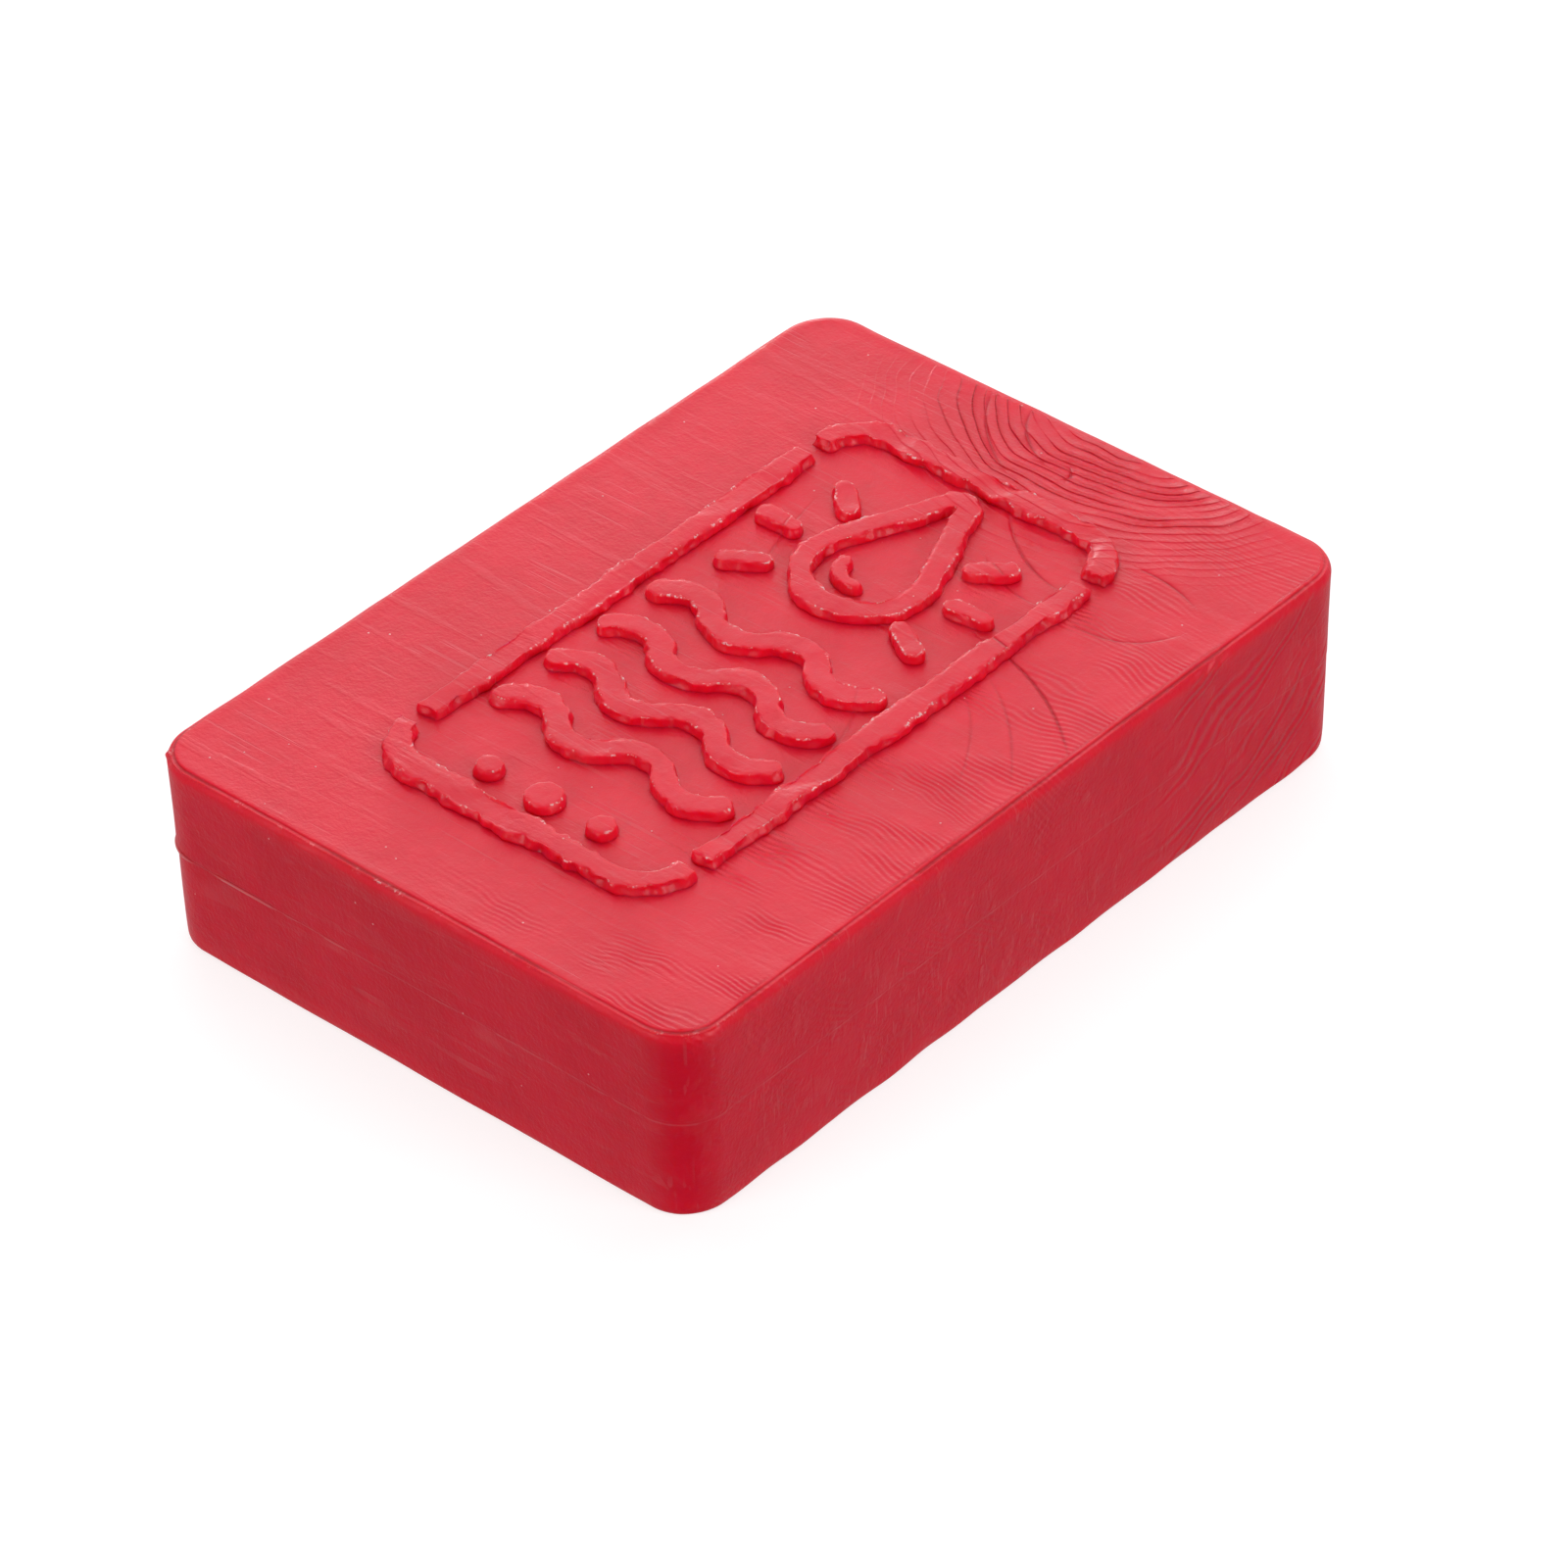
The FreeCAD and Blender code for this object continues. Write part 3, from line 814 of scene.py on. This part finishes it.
def bubbles(w, where, spacing, radius, share):
    """Tiny dots: 1 inside a dot. Only this share of the cells has one."""
    cells = w.add("TexVoronoi", {"Vector": where, "Scale": 1 / spacing})
    dot = w.ramp(cells.outputs["Distance"], radius * 0.6, radius, 1.0, 0.0)
    chosen = w.add("SeparateColor", {"Color": cells.outputs["Color"]}).outputs["Red"]
    return w.math("MULTIPLY", dot, w.math("GREATER_THAN", chosen, 1 - share))


# %% [markdown]
# ## The clay material
# Two reds drift into each other like badly stirred paint. A painted glow brightens the foot
# and the rim, painted shade darkens the grooves, scratches and smears are paler, and pale
# painted glints sit on the specks, the fin, the rim and the ridge edges. The same masks give
# the bump a little height. The skin is never smoother than a roughness of 0.29: real clay
# shows no clear reflection. Light spreads less far in the ridges than in the block, because
# each ridge is a thin separate piece and would lose too much of it at its hidden root.

# %% Reds, weights and heights
DEEP_RED = (0.79, 0.004, 0.030, 1)
WARM_RED = (0.86, 0.006, 0.037, 1)
# Painted glow: the brighter red laid on the foot and under the rim.
PAINTED_GLOW_RED = (0.98, 0.008, 0.036, 1)
# Painted shade for the grooves, the gutter and the slit.
PAINTED_SHADE_RED = (0.48, 0.002, 0.010, 1)
# Pale for real scratches and smears, and for painted glints on the specks, the seam fin, the rim and the
# ridge edges.
PALE_AND_GLINT_RED = (0.97, 0.68, 0.68, 1)
PAINTED_GLOW_SHARE = 0.8
PAINTED_SHADE_SHARE = 0.7
MOST_PALE = 0.9
PALE_AND_GLINT_SHARES = {"streak": 0.06, "smear": 0.02, "specks": 0.6, "fin": 0.4, "painted_glint": 1.0}
SKIN_HEIGHTS = {
    "grain": 0.05,
    "tooth": 0.07,
    "streak": -0.02,
    "specks": 0.06,
    "smear": 0.035,
    "painted_glint": 0.05,
}
SMOOTHEST = 0.29
ROUGHEST = 0.37
STREAK_ROUGH = 0.1
BLOCK_GLOW_DEPTH = 1.1 * MM
RIDGE_GLOW_DEPTH = 0.5 * MM


# %% The clay material
def clay(name, glow_depth):
    """Red clay. The glow depth is how far light spreads inside it."""
    w = Wiring(name)
    where = w.add("TexCoord").outputs["Object"]
    cloud = w.noise(where, 7 * MM, 3.0)
    mottle = w.noise(where, 0.9 * MM, 2.0)
    drift = w.math("ADD", w.math("MULTIPLY", cloud, 0.75), w.math("MULTIPLY", mottle, 0.25))
    streak = w.math("MAXIMUM", scratches(w, where, 0.5, 0.69), scratches(w, where, -0.9, 0.71))
    # Painted glints: grains that break the pale edges into dots.
    glint_grains = w.ramp(w.noise(where, 0.28 * MM, 1.0), 0.56, 0.6)
    masks = {
        "grain": w.noise(where, 0.32 * MM, 3.0, 0.6),
        "tooth": w.noise(where, 1.6 * MM, 2.0),
        "streak": streak,
        "specks": bubbles(w, where, 1.7 * MM, 0.055, 0.35),
        "smear": smears(w, where),
        "fin": w.attribute("fin"),
        "painted_glint": w.math("MULTIPLY", w.attribute("painted_glint"), w.math("MULTIPLY_ADD", glint_grains, 0.92, 0.08)),
    }
    film_height, groove_shade = film_marks(w)
    pale_and_glints = weighted(w, {key: masks[key] for key in PALE_AND_GLINT_SHARES}, PALE_AND_GLINT_SHARES)
    tinted = w.blend(DEEP_RED, WARM_RED, w.ramp(drift, 0.35, 0.65))
    # Painted glow at the foot and under the rim.
    tinted = w.blend(tinted, PAINTED_GLOW_RED, w.math("MULTIPLY", w.attribute("painted_glow"), PAINTED_GLOW_SHARE))
    # Painted shade in the grooves, the gutter and the slit.
    tinted = w.blend(tinted, PAINTED_SHADE_RED, w.math("MULTIPLY", groove_shade, PAINTED_SHADE_SHARE))
    # Paler scratches and smears, and painted glints on the specks, the fin, the rim and the ridge edges.
    tinted = w.blend(tinted, PALE_AND_GLINT_RED, w.math("MINIMUM", pale_and_glints, MOST_PALE))
    skin_height = weighted(w, {key: masks[key] for key in SKIN_HEIGHTS}, SKIN_HEIGHTS)
    height = w.math("ADD", skin_height, film_height)
    bump = w.add("Bump", {"Strength": 1.0, "Distance": MM, "Height": height})
    haze = w.ramp(w.noise(where, 5 * MM, 3.0, 0.6), 0.3, 0.7, SMOOTHEST, ROUGHEST)
    rough = w.math("ADD", haze, w.math("MULTIPLY", streak, STREAK_ROUGH))
    surface = w.add(
        "BsdfPrincipled",
        {
            "Base Color": tinted,
            "Roughness": rough,
            "Normal": bump.outputs["Normal"],
            "IOR": 1.4,
            "Subsurface Weight": 1.0,
            "Subsurface Radius": (1.0, 0.10, 0.08),
            "Subsurface Scale": glow_depth,
        },
    )
    w.add("OutputMaterial", {"Surface": surface.outputs["BSDF"]})
    return w.material


block.data.materials.append(clay("clay_block", BLOCK_GLOW_DEPTH))
relief_clay = clay("clay_relief", RIDGE_GLOW_DEPTH)
for piece in ridges:
    piece.data.materials.append(relief_clay)
print("clay nodes", len(relief_clay.node_tree.nodes))


# %% [markdown]
# ## The table
# The bar lies on a plain white table. A sheet of real white would throw light back up at the
# walls and wash them out, so this one glows a little and only the camera can see it.

# %% Table
TABLE_GREY = (0.4, 0.4, 0.4, 1)
TABLE_GLOW = 0.76


def plain(name, colour, painted_glow):
    """A matt material that also gives off a little white light."""
    w = Wiring(name)
    surface = w.add(
        "BsdfPrincipled",
        {"Base Color": colour, "Roughness": 0.9, "Emission Color": (1, 1, 1, 1), "Emission Strength": painted_glow},
    )
    w.add("OutputMaterial", {"Surface": surface.outputs["BSDF"]})
    return w.material


bpy.ops.object.select_all(action="DESELECT")
bpy.ops.mesh.primitive_plane_add(size=6, location=(0, 0, -0.02 * MM))
table = bpy.context.active_object
table.name = "table"
table.data.materials.append(plain("white_table", TABLE_GREY, TABLE_GLOW))
for ray in ("diffuse", "glossy", "transmission", "volume_scatter"):
    setattr(table, "visible_" + ray, False)


# %% [markdown]
# ## Lights
# A flat face mirrors one small part of the room, so each face of the bar has its own lamp.
# The overhead lamp gives the top its milky sheen. The boxes to the left and right of the
# camera light the two walls. The panel low at the back is close to the bar, so its sheen
# fades along the top, and the two small lamps make the bright points on edges and folds.

# %% Lights
LIGHT_AIM = Vector((0, 0, 0.01))


def direction(azimuth, elevation):
    """The unit vector that leads away from the bar: 0 is the front, and it turns to the right."""
    turn, rise = math.radians(azimuth), math.radians(elevation)
    level = math.cos(rise)
    return Vector((math.sin(turn) * level, -math.cos(turn) * level, math.sin(rise)))


def soft_light(name, size, distance, azimuth, elevation, power):
    """A square area light on a dome round the bar, turned to face it."""
    back = direction(azimuth, elevation)
    data = bpy.data.lights.new(name, "AREA")
    data.shape = "SQUARE"
    data.size = size
    data.energy = power
    lamp = bpy.data.objects.new(name, data)
    bpy.context.scene.collection.objects.link(lamp)
    lamp.location = LIGHT_AIM + back * distance
    lamp.rotation_euler = back.to_track_quat("Z", "Y").to_euler()
    return lamp


soft_light("overhead", size=0.4, distance=0.45, azimuth=214, elevation=68, power=0.72)
soft_light("left_box", size=0.45, distance=0.9, azimuth=345, elevation=24, power=2.4)
soft_light("right_box", size=0.45, distance=0.9, azimuth=99, elevation=24, power=2.6)
soft_light("back_panel", size=0.32, distance=0.38, azimuth=222, elevation=27, power=0.145)
soft_light("front_glint", size=0.06, distance=0.9, azimuth=62, elevation=74, power=0.4)
soft_light("rear_glint", size=0.06, distance=0.9, azimuth=228, elevation=9, power=0.4)


# %% [markdown]
# ## The room round the bar
# The world stands in for the studio: grey below, bright walls, and a dark ceiling. It has
# two dark gaps, to the left and right of the camera's line. The rounded rims of the block
# mirror those gaps, which is why they look deep red. The part behind the camera is dimmer
# as well, so that the corner that points at the camera stays dark.

# %% The room round the bar
CAMERA_AZIMUTH = 42.434
SIDE_GAP = {"From Min": 0.25, "From Max": 0.7, "To Min": 0.08, "To Max": 1.0}
HORIZON = {"From Min": -0.05, "From Max": 0.05}
FRONT_SHADE = {"From Min": 0.6, "From Max": 0.95, "To Min": 1, "To Max": 0.3}
ROOM = ((-90, 0.4), (-3, 0.4), (3, 1.0), (35, 1.0), (50, 0.12), (90, 0.12))
world = bpy.data.worlds.new("studio")
bpy.context.scene.world = world
world.use_nodes = True


def room_nodes(tree):
    """Wires the sky by height, the side gaps and the front shade. Returns the sky's ramp."""

    def node(kind, inputs=(), **settings):
        made = tree.nodes.new("ShaderNode" + kind)
        for key, setting in settings.items():
            setattr(made, key, setting)
        for key, value in dict(inputs).items():
            made.inputs[key].default_value = value
        return made

    to_camera = direction(CAMERA_AZIMUTH, 0)
    seen_along = node("TexCoord").outputs["Generated"]
    split = node("SeparateXYZ")
    height = node("MapRange", {"From Min": -1})
    sky = node("ValToRGB")
    flat = node("VectorMath", {1: (1, 1, 0)}, operation="MULTIPLY")
    level = node("VectorMath", operation="NORMALIZE")
    facing = node("VectorMath", {1: to_camera}, operation="DOT_PRODUCT")
    size = node("Math", operation="ABSOLUTE")
    gap = node("MapRange", SIDE_GAP, interpolation_type="SMOOTHSTEP")
    above = node("MapRange", HORIZON)
    front = node("MapRange", FRONT_SHADE, interpolation_type="SMOOTHSTEP")
    both = node("Math", operation="MULTIPLY")
    strength = node("Mix", {"A": 1}, data_type="FLOAT")
    background = tree.nodes["Background"]
    for start, end in (
        (seen_along, split.inputs[0]),
        (split.outputs["Z"], height.inputs["Value"]),
        (height.outputs["Result"], sky.inputs["Fac"]),
        (sky.outputs["Color"], background.inputs["Color"]),
        (seen_along, flat.inputs[0]),
        (flat.outputs["Vector"], level.inputs[0]),
        (level.outputs["Vector"], facing.inputs[0]),
        (facing.outputs["Value"], size.inputs[0]),
        (size.outputs[0], gap.inputs["Value"]),
        (split.outputs["Z"], above.inputs["Value"]),
        (above.outputs["Result"], strength.inputs["Factor"]),
        (gap.outputs["Result"], strength.inputs["B"]),
        (facing.outputs["Value"], front.inputs["Value"]),
        (front.outputs["Result"], both.inputs[0]),
        (strength.outputs["Result"], both.inputs[1]),
        (both.outputs[0], background.inputs["Strength"]),
    ):
        tree.links.new(start, end)
    return sky.color_ramp


room = room_nodes(world.node_tree)
while len(room.elements) < len(ROOM):
    room.elements.new(0.5)
for stop, (elevation, brightness) in zip(room.elements, ROOM):
    stop.position = (math.sin(math.radians(elevation)) + 1) / 2
    stop.color = (brightness, brightness, brightness, 1)
print("stops in the sky", len(room.elements))


# %% [markdown]
# ## The camera
# A long lens from half a metre away, looking down at the corner between the front and right
# walls. It is tilted by a degree or two, as a camera held by hand is. Its three axes are
# built as vectors and put into a matrix, which is more exact than turning it by hand.

# %% Camera
LENS = 177.8
SENSOR_WIDTH = 36
NEAR_CLIP = 0.01
CAMERA_ELEVATION = 37.988
CAMERA_ROLL = -1.694
CAMERA_DISTANCE = 0.5706
AIM = Vector((4.517, -2.388, 8.5)) * MM
back = direction(CAMERA_AZIMUTH, CAMERA_ELEVATION)
level_right = direction(CAMERA_AZIMUTH + 90, 0)
right = Matrix.Rotation(math.radians(CAMERA_ROLL), 3, back) @ level_right
up = back.cross(right)
lens = bpy.data.cameras.new("camera")
lens.lens = LENS
lens.sensor_width = SENSOR_WIDTH
lens.clip_start = NEAR_CLIP
camera = bpy.data.objects.new("camera", lens)
bpy.context.scene.collection.objects.link(camera)
axes = Matrix((right, up, back)).transposed().to_4x4()
camera.matrix_world = Matrix.Translation(AIM + back * CAMERA_DISTANCE) @ axes
bpy.context.scene.camera = camera
bpy.context.scene.view_settings.view_transform = "Standard"
print("camera at", [round(v, 3) for v in camera.matrix_world.translation])
